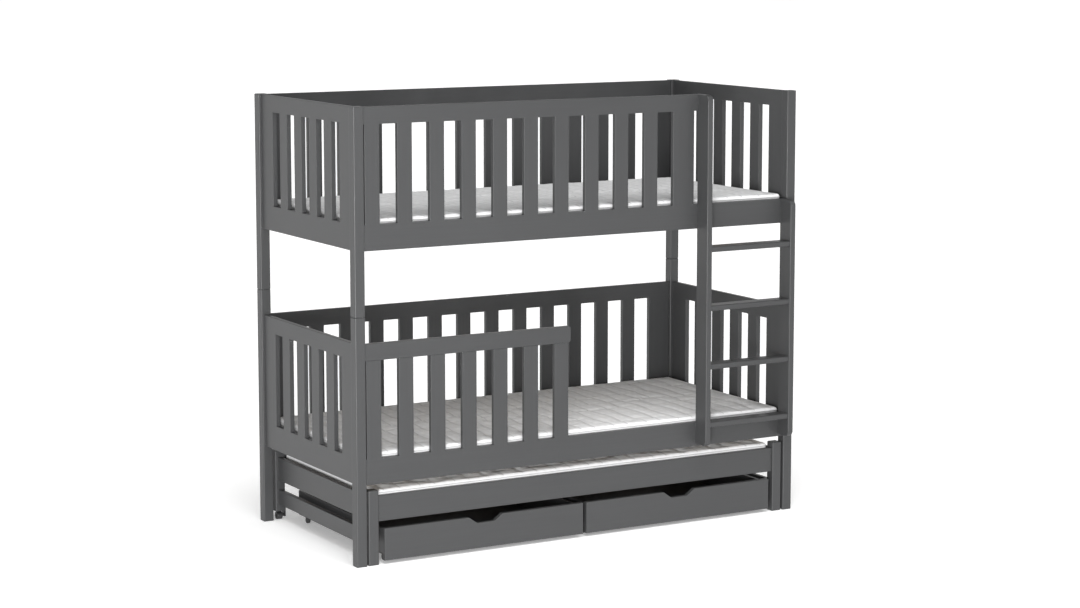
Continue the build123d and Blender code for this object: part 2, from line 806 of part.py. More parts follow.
def make_wheel(name, x_middle, y, radius, width, bore_radius, edge_round):
    with BuildPart() as wheel:
        with BuildSketch(plane_at_x(x_middle)):
            with Locations((y, radius)):
                Circle(radius)
                Circle(bore_radius, mode=Mode.SUBTRACT)
        extrude(amount=width / 2, both=True)
        rims = edges().filter_by(GeomType.CIRCLE).group_by(SortBy.RADIUS)[-1]
        fillet(rims, edge_round)
    save(wheel, name)


def make_trundle_casters():
    # Side-mounted casters: a plate on the leg's inner face with an axle that reaches under the leg
    y = trundle_back - post_size / 2
    plate_bottom = caster_radius - caster_spacer_radius
    plate_top = trundle_back_leg_bottom + caster_plate_above_leg_bottom
    screw_span = plate_top - trundle_back_leg_bottom
    screw_heights = [trundle_back_leg_bottom + screw_span * share for share in caster_screw_height_shares]
    bore_radius = caster_axle_radius + caster_running_clearance
    with BuildPart() as brackets:
        for leg_x, inward in ((trundle_left + post_size / 2, 1), (trundle_right - post_size / 2, -1)):
            face_x = leg_x + inward * post_size / 2
            wheel_side = leg_x + inward * (caster_width / 2 + caster_side_clearance)
            far_side = leg_x - inward * (caster_width / 2 + caster_side_clearance)
            with BuildSketch(plane_at_x(face_x)):
                with Locations((y, (plate_bottom + plate_top) / 2)):
                    RectangleRounded(caster_plate_width, plate_top - plate_bottom, caster_spacer_radius)
            extrude(amount=inward * caster_plate_thickness)
            with BuildSketch(plane_at_x(face_x + inward * caster_plate_thickness)):
                with Locations(*[(y, z) for z in screw_heights]):
                    Circle(caster_screw_radius)
            extrude(amount=inward * caster_screw_height)
            with BuildSketch(plane_at_x(wheel_side)):
                with Locations((y, caster_radius)):
                    Circle(caster_spacer_radius)
            extrude(amount=face_x - wheel_side)
            with BuildSketch(plane_at_x(far_side)):
                with Locations((y, caster_radius)):
                    Circle(caster_axle_radius)
            extrude(amount=wheel_side - far_side)
            with BuildSketch(plane_at_x(far_side)):
                with Locations((y, caster_radius)):
                    Circle(caster_spacer_radius)
            extrude(amount=-inward * caster_cap_height)
    save(brackets, "trundle_caster_brackets")
    for side, leg_x in (("left", trundle_left + post_size / 2), ("right", trundle_right - post_size / 2)):
        make_wheel(
            f"trundle_{side}_wheel", leg_x, y, caster_radius, caster_width, bore_radius, caster_edge_round
        )


# Drawers

def drawer_front_outline(x_middle):
    # Rectangle with a tapered finger notch in its top edge
    top = drawer_front_bottom + drawer_front_height
    half_top = notch_top_width / 2
    half_bottom = notch_bottom_width / 2
    with Locations((x_middle, drawer_front_bottom + drawer_front_height / 2)):
        Rectangle(drawer_front_width, drawer_front_height)
    with BuildLine(mode=Mode.PRIVATE) as notch:
        Polyline(
            (x_middle - half_top, top + cut_overrun),
            (x_middle - half_top, top),
            (x_middle - half_bottom, top - notch_depth),
            (x_middle + half_bottom, top - notch_depth),
            (x_middle + half_top, top),
            (x_middle + half_top, top + cut_overrun),
            close=True,
        )
    make_face(notch.edges(), mode=Mode.SUBTRACT)
    near_notch = vertices().filter_by(lambda corner: abs(corner.X - x_middle) < half_top + cut_overrun)
    fillet(near_notch, notch_round)


def drawer_wheel_places(x_middle):
    x_offset = drawer_box_width / 2 - drawer_wheel_inset
    y_front = drawer_box_y + drawer_wheel_end_inset
    y_back = drawer_box_y + drawer_box_depth - drawer_wheel_end_inset
    return {
        "front_left": (x_middle - x_offset, y_front),
        "front_right": (x_middle + x_offset, y_front),
        "back_left": (x_middle - x_offset, y_back),
        "back_right": (x_middle + x_offset, y_back),
    }


def make_drawer_front(side, x_middle):
    with BuildPart() as panel:
        with BuildSketch(plane_at_y(drawer_box_y)):
            drawer_front_outline(x_middle)
        extrude(amount=drawer_front_thickness)
        fillet(faces().sort_by(Axis.Y)[0].edges(), drawer_front_round)
    save(panel, f"drawer_{side}_front")


def make_drawer_box(side, x_middle):
    side_x = (drawer_box_width - drawer_side_thickness) / 2
    back_y = drawer_box_y + drawer_box_depth - drawer_side_thickness / 2
    with BuildPart() as floor_panel:
        with BuildSketch(Plane.XY.offset(drawer_bottom_z)):
            with Locations((x_middle, drawer_box_y + drawer_box_depth / 2)):
                Rectangle(drawer_box_width, drawer_box_depth)
        extrude(amount=drawer_bottom_thickness)
    save(floor_panel, f"drawer_{side}_bottom")
    side_depth = drawer_box_depth - drawer_side_thickness - drawer_joint_gap
    side_y = drawer_box_y + side_depth / 2
    with BuildPart() as walls:
        with BuildSketch(Plane.XY.offset(drawer_wall_bottom)):
            with Locations((x_middle - side_x, side_y), (x_middle + side_x, side_y)):
                Rectangle(drawer_side_thickness, side_depth)
            with Locations((x_middle, back_y)):
                Rectangle(drawer_box_width, drawer_side_thickness)
        extrude(amount=drawer_side_height)
    save(walls, f"drawer_{side}_walls")


def make_drawer_wheels(side, x_middle):
    places = drawer_wheel_places(x_middle)
    cheek_offset = drawer_wheel_width / 2 + drawer_wheel_side_clearance + fork_cheek_thickness / 2
    fork_width = 2 * cheek_offset + fork_cheek_thickness
    plate_z = drawer_bottom_z - fork_plate_thickness
    cheek_bottom = drawer_wheel_radius - fork_cheek_below_axle
    with BuildPart() as forks:
        with BuildSketch(Plane.XY.offset(plate_z)):
            with Locations(*places.values()):
                Rectangle(fork_width, fork_plate_length)
        extrude(amount=fork_plate_thickness)
        with BuildSketch(Plane.XY.offset(cheek_bottom)):
            for x, y in places.values():
                with Locations((x - cheek_offset, y), (x + cheek_offset, y)):
                    Rectangle(fork_cheek_thickness, fork_cheek_width)
        extrude(amount=plate_z - cheek_bottom)
        for x, y in places.values():
            with BuildSketch(plane_at_x(x)):
                with Locations((y, drawer_wheel_radius)):
                    Circle(drawer_axle_radius)
            extrude(amount=cheek_offset, both=True)
    save(forks, f"drawer_{side}_forks")
    bore_radius = drawer_axle_radius + drawer_wheel_running_clearance
    for corner, (x, y) in places.items():
        make_wheel(
            f"drawer_{side}_wheel_{corner}",
            x,
            y,
            drawer_wheel_radius,
            drawer_wheel_width,
            bore_radius,
            drawer_wheel_edge_round,
        )


def make_drawers():
    for side, x_middle in (("left", -drawer_centre_offset), ("right", drawer_centre_offset)):
        make_drawer_front(side, x_middle)
        make_drawer_box(side, x_middle)
        make_drawer_wheels(side, x_middle)


make_posts()
make_front_rails()
make_lower_guard()
make_upper_guard()
make_back_panels()
make_end_panels()
make_ladder()
make_bunks()
make_trundle_legs()
make_trundle_boards()
make_trundle_bed()
make_trundle_casters()
make_drawers()
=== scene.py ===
import json
import math
import random

import bpy
import numpy as np
from mathutils import Matrix, Vector


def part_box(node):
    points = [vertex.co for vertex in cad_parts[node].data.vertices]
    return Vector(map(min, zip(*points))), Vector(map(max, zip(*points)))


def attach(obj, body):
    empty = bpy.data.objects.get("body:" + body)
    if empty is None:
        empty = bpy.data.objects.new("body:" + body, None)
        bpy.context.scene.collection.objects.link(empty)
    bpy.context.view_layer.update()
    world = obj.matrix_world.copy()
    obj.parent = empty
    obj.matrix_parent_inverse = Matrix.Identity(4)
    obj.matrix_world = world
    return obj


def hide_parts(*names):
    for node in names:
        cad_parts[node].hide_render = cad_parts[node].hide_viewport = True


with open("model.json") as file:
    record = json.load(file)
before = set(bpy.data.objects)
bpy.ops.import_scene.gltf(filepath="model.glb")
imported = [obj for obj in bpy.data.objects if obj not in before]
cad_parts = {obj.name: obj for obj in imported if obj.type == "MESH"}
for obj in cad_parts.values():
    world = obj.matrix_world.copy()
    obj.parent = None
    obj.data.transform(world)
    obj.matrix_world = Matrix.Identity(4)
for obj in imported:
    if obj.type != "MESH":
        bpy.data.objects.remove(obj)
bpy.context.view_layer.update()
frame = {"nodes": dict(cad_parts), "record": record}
nodes = frame["nodes"]
scene = bpy.context.scene

# Lengths are in metres, angles in degrees and powers in watts, unless a name says otherwise.


# Camera, at the photograph's viewing angle

CAMERA_PLACE = (-4.71275, -8.28721, 2.23407)
CAMERA_PITCH = 7.4039
CAMERA_YAW = 29.8061
CAMERA_SENSOR_WIDTH_MM = 36
CAMERA_LENS_MM = 83.9092
CAMERA_SHIFT_Y = -0.04
CAMERA_NEAREST = 0.1
CAMERA_FARTHEST = 200


def make_camera():
    camera = bpy.data.objects.new("camera", bpy.data.cameras.new("camera"))
    camera.location = CAMERA_PLACE
    camera.rotation_euler = (math.radians(90 - CAMERA_PITCH), 0, math.radians(-CAMERA_YAW))
    camera.data.sensor_width = CAMERA_SENSOR_WIDTH_MM
    camera.data.lens = CAMERA_LENS_MM
    camera.data.shift_y = CAMERA_SHIFT_Y
    camera.data.clip_start = CAMERA_NEAREST
    camera.data.clip_end = CAMERA_FARTHEST
    scene.collection.objects.link(camera)
    scene.camera = camera


make_camera()


# Materials

# A mix node's colour sockets go by number, because their labels repeat for other types
MIX_SHARE = 0
MIX_BELOW = 6
MIX_ABOVE = 7
MIX_RESULT = 2


class Graph:
    """A small helper that adds nodes to a node tree and links them."""

    def __init__(self, tree):
        self.tree = tree

    def node(self, kind, inputs=None, **settings):
        made = self.tree.nodes.new(kind)
        for key, value in settings.items():
            setattr(made, key, value)
        for key, value in (inputs or {}).items():
            if isinstance(value, bpy.types.NodeSocket):
                self.tree.links.new(value, made.inputs[key])
            else:
                made.inputs[key].default_value = value
        return made

    def coordinates(self, scale):
        place = self.node("ShaderNodeTexCoord")
        return self.node("ShaderNodeMapping", {"Vector": place.outputs["Object"], "Scale": scale}).outputs[0]

    def noise(self, scale, detail, rough=0.5, distortion=0.0):
        return self.node("ShaderNodeTexNoise", {
            "Vector": self.coordinates(scale), "Scale": 1.0, "Detail": detail,
            "Roughness": rough, "Distortion": distortion}).outputs[0]

    def waves(self, vector, scale, distortion, detail, detail_scale, **settings):
        return self.node("ShaderNodeTexWave", {
            "Vector": vector, "Scale": scale, "Distortion": distortion,
            "Detail": detail, "Detail Scale": detail_scale}, **settings).outputs["Fac"]

    def ramp(self, value, stops):
        made = self.node("ShaderNodeValToRGB", {"Fac": value})
        elements = made.color_ramp.elements
        while len(elements) < len(stops):
            elements.new(0.5)
        for element, (place, colour) in zip(elements, stops):
            element.position = place
            element.color = (*colour, 1)
        return made.outputs[0]

    def span(self, value, low, high):
        return self.node("ShaderNodeMapRange", {"Value": value, "To Min": low, "To Max": high}).outputs[0]

    def maths(self, operation, first, second):
        made = self.node("ShaderNodeMath", operation=operation)
        for socket, value in zip(made.inputs, (first, second)):
            if isinstance(value, bpy.types.NodeSocket):
                self.tree.links.new(value, socket)
            else:
                socket.default_value = value
        return made.outputs[0]

    def shared(self, first, second, first_share):
        """A blend of two values, with the given share of the first."""
        part = self.maths("MULTIPLY", first, first_share)
        rest = self.maths("MULTIPLY", second, 1 - first_share)
        return self.maths("ADD", part, rest)

    def bump(self, height, strength, distance, normal=None):
        inputs = {"Height": height, "Strength": strength, "Distance": distance}
        if normal is not None:
            inputs["Normal"] = normal
        return self.node("ShaderNodeBump", inputs).outputs[0]

    def painted_over(self, share, below, above):
        """A colour with a plain one over it, by the given share."""
        inputs = {MIX_SHARE: share, MIX_BELOW: below, MIX_ABOVE: (*above, 1)}
        return self.node("ShaderNodeMix", inputs, data_type="RGBA").outputs[MIX_RESULT]


class Surface(Graph):
    """The node tree of a new material, with its shader."""

    def __init__(self, name):
        self.material = bpy.data.materials.new(name)
        self.material.use_nodes = True
        super().__init__(self.material.node_tree)
        self.shader = self.tree.nodes["Principled BSDF"]

    def link(self, output, socket):
        self.tree.links.new(output, self.shader.inputs[socket])

    def set(self, **values):
        for key, value in values.items():
            self.shader.inputs[key.replace("_", " ")].default_value = value


def stretched(axis, along, across):
    """Texture scale with long features along an axis, from the feature lengths."""
    scale = [1 / across] * 3
    scale["XYZ".index(axis)] = 1 / along
    return tuple(scale)


def even(rate):
    """Texture scale with the same number of features per metre every way."""
    return (rate, rate, rate)


def shade(colour, factor):
    """A colour made darker, or lighter above 1."""
    return tuple(factor * part for part in colour)


PAINT_DARK = (0.0348, 0.0354, 0.0364)
PAINT_LIGHT = (0.0418, 0.0424, 0.0434)


def painted_wood(axis, name):
    """Satin graphite paint that lets the grain read through, with the grain along an axis."""
    g = Surface(name)
    grain = g.noise(stretched(axis, along=0.35, across=0.006), detail=6, rough=0.6, distortion=0.25)
    cloud = g.noise(even(1.6), detail=2)
    roller = g.noise(even(900), detail=2, rough=0.6)
    tone = g.shared(grain, cloud, first_share=0.55)
    g.link(g.ramp(tone, [(0.3, PAINT_DARK), (0.7, PAINT_LIGHT)]), "Base Color")
    g.link(g.span(grain, low=0.36, high=0.46), "Roughness")
    fine = g.bump(roller, strength=0.10, distance=0.0004)
    g.link(g.bump(grain, strength=0.10, distance=0.0008, normal=fine), "Normal")
    g.set(Specular_IOR_Level=0.37)
    return g.material


RING_SWING = 1.6


def bare_wood(axis, name, dark, light):
    """Planed wood with rings and fine fibre along an axis."""
    g = Surface(name)
    warp = g.noise(stretched(axis, along=0.6, across=0.09), detail=3)
    swing = g.maths("MULTIPLY", warp, RING_SWING)
    shift = g.node("ShaderNodeCombineXYZ", {"X": swing, "Y": swing, "Z": swing}).outputs[0]
    place = g.coordinates(stretched(axis, along=2.4, across=0.05))
    shifted = g.node("ShaderNodeVectorMath", {0: place, 1: shift}, operation="ADD").outputs[0]
    rings = g.waves(shifted, scale=1.7, distortion=2.2, detail=2.0, detail_scale=1.2,
                    wave_type="RINGS", rings_direction=axis)
    fibre = g.noise(stretched(axis, along=0.12, across=0.0012), detail=5, rough=0.65)
    tone = g.shared(rings, fibre, first_share=0.6)
    g.link(g.ramp(tone, [(0.15, dark), (0.85, light)]), "Base Color")
    g.link(g.span(fibre, low=0.5, high=0.7), "Roughness")
    g.link(g.bump(fibre, strength=0.25, distance=0.0006), "Normal")
    return g.material


def zinc_steel():
    """Galvanised steel with its faint spangle and brushed lines."""
    g = Surface("zinc_steel")
    flakes = g.node("ShaderNodeTexVoronoi", {"Vector": g.coordinates(even(260)), "Scale": 1.0})
    spangle = flakes.outputs["Color"]
    brushed = g.noise((60, 60, 1400), detail=3, rough=0.6)
    g.link(g.ramp(spangle, [(0.2, (0.50, 0.51, 0.52)), (0.8, (0.63, 0.64, 0.66))]), "Base Color")
    g.link(g.span(brushed, low=0.26, high=0.44), "Roughness")
    g.link(g.bump(brushed, strength=0.08, distance=0.0002), "Normal")
    g.set(Metallic=1.0)
    return g.material


def wheel_plastic():
    """Moulded black plastic, scuffed where it rolls."""
    g = Surface("wheel_plastic")
    grain = g.noise(even(700), detail=4, rough=0.6)
    scuff = g.noise((45, 160, 160), detail=4, rough=0.65)
    g.link(g.ramp(scuff, [(0.35, (0.012, 0.012, 0.013)), (0.8, (0.034, 0.033, 0.032))]), "Base Color")
    g.link(g.span(scuff, low=0.38, high=0.58), "Roughness")
    g.link(g.bump(grain, strength=0.2, distance=0.0003), "Normal")
    return g.material


def hardboard():
    """Near-black fibreboard, faintly mottled: its darkness is painted shade for the drawer's shadowed inside.
    """
    g = Surface("hardboard")
    fibre = g.noise(even(420), detail=6, rough=0.7, distortion=0.4)
    blotch = g.noise(even(9), detail=3)
    tone = g.shared(fibre, blotch, first_share=0.6)
    # The near-black colour is painted shade for the drawer's shadowed inside, seen over its front
    g.link(g.ramp(tone, [(0.25, (0.016, 0.016, 0.017)), (0.75, (0.026, 0.026, 0.027))]), "Base Color")
    g.link(g.span(fibre, low=0.45, high=0.62), "Roughness")
    g.link(g.bump(fibre, strength=0.18, distance=0.0004), "Normal")
    return g.material


def black_steel():
    """Black powder coat with its fine orange-peel surface."""
    g = Surface("black_steel")
    peel = g.noise(even(520), detail=3, rough=0.55)
    wear = g.noise(even(35), detail=4, rough=0.6)
    g.link(g.ramp(wear, [(0.3, (0.010, 0.010, 0.011)), (0.8, (0.022, 0.022, 0.023))]), "Base Color")
    g.link(g.span(wear, low=0.36, high=0.52), "Roughness")
    g.link(g.bump(peel, strength=0.25, distance=0.0003), "Normal")
    return g.material


KNIT_LOOP_SCALE = 75.0
RIPPLE_SCALE_X = 10.5
RIPPLE_SCALE_Y = 6.5
RIPPLE_SHIFT_Y = 0.013
# Painted shade, with a little dust: how much darker the cloth is along the sewn channel lines
SEAM_DUST_AND_PAINTED_SHADE = 0.66


def quilted_knit(name, colour):
    """Off-white knitted cover: a fine knit, small ripples between the channels, and painted shade with a
    little dust along the sewn lines.
    """
    g = Surface(name)
    place = g.node("ShaderNodeTexCoord").outputs["Object"]

    def ridges(axis, scale, shift=0.0):
        moved = g.node("ShaderNodeMapping", {"Vector": place, "Location": [shift] * 3}).outputs[0]
        return g.waves(moved, scale, distortion=0.6, detail=1.0, detail_scale=2.0, bands_direction=axis)

    loops = [ridges(axis, KNIT_LOOP_SCALE) for axis in "XYZ"]
    knit = g.maths("MAXIMUM", loops[0], g.maths("MAXIMUM", loops[1], loops[2]))
    ripple = g.maths("MULTIPLY", ridges("X", RIPPLE_SCALE_X), ridges("Y", RIPPLE_SCALE_Y, RIPPLE_SHIFT_Y))
    fuzz = g.noise(even(1500), detail=3, rough=0.7)
    cloud = g.noise(even(7), detail=3)
    seam = g.node("ShaderNodeAttribute", attribute_name="seam").outputs["Fac"]
    seam_dust_and_shade_mask = g.node("ShaderNodeMapRange", {"Value": seam, "From Min": 0.6, "From Max": 1.0}).outputs[0]
    tone = g.shared(cloud, ripple, first_share=0.5)
    cloth = g.ramp(tone, [(0.2, shade(colour, 0.90)), (0.8, shade(colour, 1.02))])
    # The sewn lines get a darker colour: painted shade of the channel grooves, with a little dust
    g.link(g.painted_over(seam_dust_and_shade_mask, cloth, shade(colour, SEAM_DUST_AND_PAINTED_SHADE)), "Base Color")
    g.link(g.span(fuzz, low=0.82, high=0.97), "Roughness")
    fine = g.bump(fuzz, strength=0.35, distance=0.0004)
    woven = g.bump(knit, strength=0.35, distance=0.0006, normal=fine)
    g.link(g.bump(ripple, strength=0.45, distance=0.0016, normal=woven), "Normal")
    g.set(Sheen_Weight=0.25, Sheen_Roughness=0.5, Specular_IOR_Level=0.2)
    return g.material


PINE_DARK = (0.34, 0.26, 0.18)
PINE_LIGHT = (0.47, 0.38, 0.28)
BEECH_DARK = (0.42, 0.25, 0.13)
BEECH_LIGHT = (0.62, 0.43, 0.26)

paint = {axis: painted_wood(axis, f"graphite_paint_{axis.lower()}") for axis in "XYZ"}
pine = {axis: bare_wood(axis, f"pine_{axis.lower()}", PINE_DARK, PINE_LIGHT) for axis in "XY"}
knit_cover = quilted_knit("quilted_knit", (0.69, 0.692, 0.696))
# The tape edge is darker than the cover: partly its own grey, partly painted shade of a recessed seam
knit_piping_and_shade = quilted_knit("knit_piping_and_shade", (0.40, 0.402, 0.405))
plain_materials = {
    "dowel_wood": bare_wood("Z", "beech", BEECH_DARK, BEECH_LIGHT),
    "zinc_steel": zinc_steel(),
    "black_steel": black_steel(),
    "wheel_plastic": wheel_plastic(),
    "hardboard": hardboard(),
    "box_board": paint["X"],
    "mattress_fabric": knit_cover,
}

UPRIGHT_WORDS = ("post", "slats", "stile", "legs")
ACROSS_WORDS = ("end_rails", "end_boards")


def node_material(name, slot):
    """The material of a CAD node, with the grain along the boards that it holds."""
    if slot == "painted_wood":
        if any(word in name for word in ACROSS_WORDS):
            return paint["Y"]
        return paint["Z"] if any(word in name for word in UPRIGHT_WORDS) else paint["X"]
    if slot == "bare_wood":
        return pine["X"] if "ledges" in name else pine["Y"]
    return plain_materials[slot]


def dress_nodes():
    """Gives every CAD node the material of its slot."""
    slots = {entry["node"]: entry["material_slot"] for entry in frame["record"]["subparts"]}
    for name, piece in nodes.items():
        material = node_material(name, slots[name])
        if not piece.material_slots:
            piece.data.materials.append(material)
        for holder in piece.material_slots:
            holder.material = material


dress_nodes()


# Mattresses: their sewn channels

CHANNEL_PITCH = 0.072
CHANNEL_WAVE = 0.007
CHANNEL_WAVE_LENGTH = 0.27
CHANNEL_WAVE_START_RADIANS = 0.9
CHANNEL_DEPTH = 0.003
CHANNEL_SPREAD = 0.008

# Their mesh

CELLS_PER_CHANNEL = 6
ROW_STEP = 0.0095
SIDE_ROWS = 9
END_STRIP = 0.03
END_COLUMNS = 4
LEVEL_TOLERANCE = 0.001
TINY = 1e-9

# Their form

BASE_INSET = 0.004
TOP_INSET = 0.0055
EDGE_ROUND = 0.009
CROWN = 0.0015
DRAWN_IN = 0.003
UNEVEN_HEIGHT = 0.0012
UNEVEN_LENGTH = 0.21
UNEVEN_WAVES = 7
UNEVEN_LENGTH_SHARES = (0.6, 1.7)
PUFF_CAP = 0.0042
EDGE_FADE = 0.06
EDGE_SHARE = 0.16

# The simulation's hold on them, from 0, free, to 1, fixed

SEAM_HOLD = 0.92
BASE_HOLD = 1.0
SIDE_HOLD = 0.35
END_HOLD_WIDTH = 0.028
SIMULATED_FRAMES = 20
CLOTH_VALUES = {
    "pin_stiffness": 1.0,
    "use_pressure": True,
    "uniform_pressure_force": 4.0,
    "mass": 0.15,
    "tension_stiffness": 12,
    "compression_stiffness": 12,
    "shear_stiffness": 4,
    "bending_stiffness": 0.4,
    "shrink_min": -0.035,
    "quality": 5,
}

# Their tape edges, with heights as shares of the CAD solid's

PIPING_RADIUS = 0.0014
PIPING_FACETS = 3
PIPING_STEP = 0.05
PIPING_CORNER_STEPS = 8
PIPING_HEIGHT_SHARES = {"upper": 0.786, "lower": 0.14}


class CoverForm:
    """The place and size of a mattress cover, a little inside its CAD box."""

    def __init__(self, node):
        low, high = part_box(node)
        self.place = ((low[0] + high[0]) / 2, (low[1] + high[1]) / 2, low[2])
        self.box_height = high[2] - low[2]
        self.half_length = (high[0] - low[0]) / 2 - BASE_INSET
        self.half_width = (high[1] - low[1]) / 2 - BASE_INSET
        self.height = self.box_height - TOP_INSET
        self.lines = self.channel_lines()

    def channel_lines(self):
        """Rest places of the sewn channels along the mattress, evenly pitched."""
        start = -self.half_length + END_STRIP
        span = 2 * (self.half_length - END_STRIP)
        count = round(span / CHANNEL_PITCH)
        return [start + span / count * index for index in range(count + 1)]

    def line_shift(self, index, y):
        """How far a channel waves from its rest place. The first and the last are straight."""
        if not 0 < index < len(self.lines) - 1:
            return 0.0
        side = 1 if index % 2 else -1
        turn = 2 * math.pi * y / CHANNEL_WAVE_LENGTH + CHANNEL_WAVE_START_RADIANS
        return side * CHANNEL_WAVE * math.sin(turn)

    def line_distances(self, flat):
        """How far each flat point is from the nearest channel."""
        rows = np.unique(flat[:, 1])
        shifts = np.array([[self.line_shift(index, y) for index in range(len(self.lines))] for y in rows])
        waved = np.array(self.lines)[None, :] + shifts[np.searchsorted(rows, flat[:, 1])]
        return np.min(np.abs(flat[:, 0][:, None] - waved), axis=1)

    def column_keys(self):
        """The mesh's columns: a channel and the share to the next one, or an end and the distance past it."""
        ends = [END_STRIP * (step + 1) / END_COLUMNS for step in range(END_COLUMNS)]
        inner = [(index, step / CELLS_PER_CHANNEL)
                 for index in range(len(self.lines) - 1) for step in range(CELLS_PER_CHANNEL)]
        last = (len(self.lines) - 1, 0.0)
        return [("low", step) for step in reversed(ends)] + inner + [last] + [("high", step) for step in ends]

    def column_x(self, key, y):
        index, share = key
        if index == "low":
            return self.lines[0] - share
        if index == "high":
            return self.lines[-1] + share
        here = self.lines[index] + self.line_shift(index, y)
        if share == 0:
            return here
        there = self.lines[index + 1] + self.line_shift(index + 1, y)
        return here + (there - here) * share


def box_faces(point, last_i, last_j, last_k):
    """The faces of a closed box of cells, where point gives the index of a grid place."""
    faces = []
    for i in range(last_i):
        for j in range(last_j):
            faces.append((point(i, j, last_k), point(i + 1, j, last_k),
                          point(i + 1, j + 1, last_k), point(i, j + 1, last_k)))
            faces.append((point(i, j, 0), point(i, j + 1, 0), point(i + 1, j + 1, 0), point(i + 1, j, 0)))
        for k in range(last_k):
            faces.append((point(i, 0, k), point(i + 1, 0, k), point(i + 1, 0, k + 1), point(i, 0, k + 1)))
            faces.append((point(i, last_j, k), point(i, last_j, k + 1),
                          point(i + 1, last_j, k + 1), point(i + 1, last_j, k)))
    for j in range(last_j):
        for k in range(last_k):
            faces.append((point(0, j, k), point(0, j, k + 1), point(0, j + 1, k + 1), point(0, j + 1, k)))
            faces.append((point(last_i, j, k), point(last_i, j + 1, k),
                          point(last_i, j + 1, k + 1), point(last_i, j, k + 1)))
    return faces


def mattress_grid(form):
    """Points of a closed box whose columns follow the wavy channels, with faces and a channel flag."""
    keys = form.column_keys()
    flags = [1.0 if key[0] not in ("low", "high") and key[1] == 0 else 0.0 for key in keys]
    rows = round(2 * form.half_width / ROW_STEP)
    ys = [-form.half_width + 2 * form.half_width * row / rows for row in range(rows + 1)]
    levels = [form.height * row / SIDE_ROWS for row in range(SIDE_ROWS + 1)]
    points, seam, index_of = [], [], {}

    def point(i, j, k):
        if (i, j, k) not in index_of:
            index_of[i, j, k] = len(points)
            points.append((form.column_x(keys[i], ys[j]), ys[j], levels[k]))
            seam.append(flags[i] if k == SIDE_ROWS else 0.0)
        return index_of[i, j, k]

    faces = box_faces(point, len(keys) - 1, len(ys) - 1, SIDE_ROWS)
    return np.array(points), faces, np.array(seam)


def rounded(points, form):
    """The box's points pushed onto a box with rounded edges and corners."""
    centre = np.array([0, 0, form.height / 2])
    half = np.array([form.half_length, form.half_width, form.height / 2])
    local = points - centre
    core = np.clip(local, -(half - EDGE_ROUND), half - EDGE_ROUND)
    offset = local - core
    length = np.linalg.norm(offset, axis=1)
    outer = length > TINY
    result = local.copy()
    result[outer] = core[outer] + offset[outer] / length[outer, None] * EDGE_ROUND
    return result + centre


def edge_hold(flat, form):
    """How freely the cover swells, from a little at its taped edges to fully inside them."""
    inside = np.minimum(form.half_length - np.abs(flat[:, 0]), form.half_width - np.abs(flat[:, 1]))
    ease = np.clip(inside / EDGE_FADE, 0, 1)
    return EDGE_SHARE + (1 - EDGE_SHARE) * ease * ease * (3 - 2 * ease)


def drawn_in(points, form):
    """Plan positions with the sides pulled in a little between the corners."""
    across = 1 - DRAWN_IN / form.half_width * (1 - (points[:, 0] / form.half_length) ** 2)
    along = 1 - DRAWN_IN / form.half_length * (1 - (points[:, 1] / form.half_width) ** 2)
    result = points.copy()
    result[:, 0] *= along
    result[:, 1] *= across
    return result


def smooth_noise(points, seed):
    """A gentle random field over the cover, as a sum of a few fixed waves."""
    chance = random.Random(seed)
    total = np.zeros(len(points))
    for _ in range(UNEVEN_WAVES):
        angle = chance.uniform(0, 2 * math.pi)
        rate = 2 * math.pi / (UNEVEN_LENGTH * chance.uniform(*UNEVEN_LENGTH_SHARES))
        phase = chance.uniform(0, 2 * math.pi)
        total += np.sin(rate * (points[:, 0] * math.cos(angle) + points[:, 1] * math.sin(angle)) + phase)
    return total / UNEVEN_WAVES


def quilted(points, flat, distance, hold, form, seed):
    """The rounded box with sewn channels, a slightly uneven top and a crown."""
    top = flat[:, 2] > form.height - LEVEL_TOLERANCE
    crown_along = 1 - (flat[top, 0] / form.half_length) ** 4
    crown_across = 1 - (flat[top, 1] / form.half_width) ** 2
    result = points.copy()
    result[top, 2] -= CHANNEL_DEPTH * hold[top] * np.exp(-(distance[top] / CHANNEL_SPREAD) ** 2)
    result[top, 2] += UNEVEN_HEIGHT * hold[top] * smooth_noise(flat[top], seed)
    result[top, 2] += CROWN * crown_along * crown_across
    return result


def hold_points(piece, points, seam, form):
    """Sets how firmly the simulation holds the cover at its seams, base, sides and ends."""
    group = piece.vertex_groups.new(name="sewn")
    top = points[:, 2] > form.height - LEVEL_TOLERANCE
    bottom = points[:, 2] < LEVEL_TOLERANCE
    near_ends = np.abs(points[:, 0]) > form.half_length - END_HOLD_WIDTH
    held = [
        ((seam > 0.5) & top, SEAM_HOLD),
        (bottom, BASE_HOLD),
        (~top & ~bottom, SIDE_HOLD),
        (top & near_ends, SIDE_HOLD),
    ]
    for chosen, firmness in held:
        for index in np.nonzero(chosen)[0]:
            group.add([int(index)], firmness, "REPLACE")


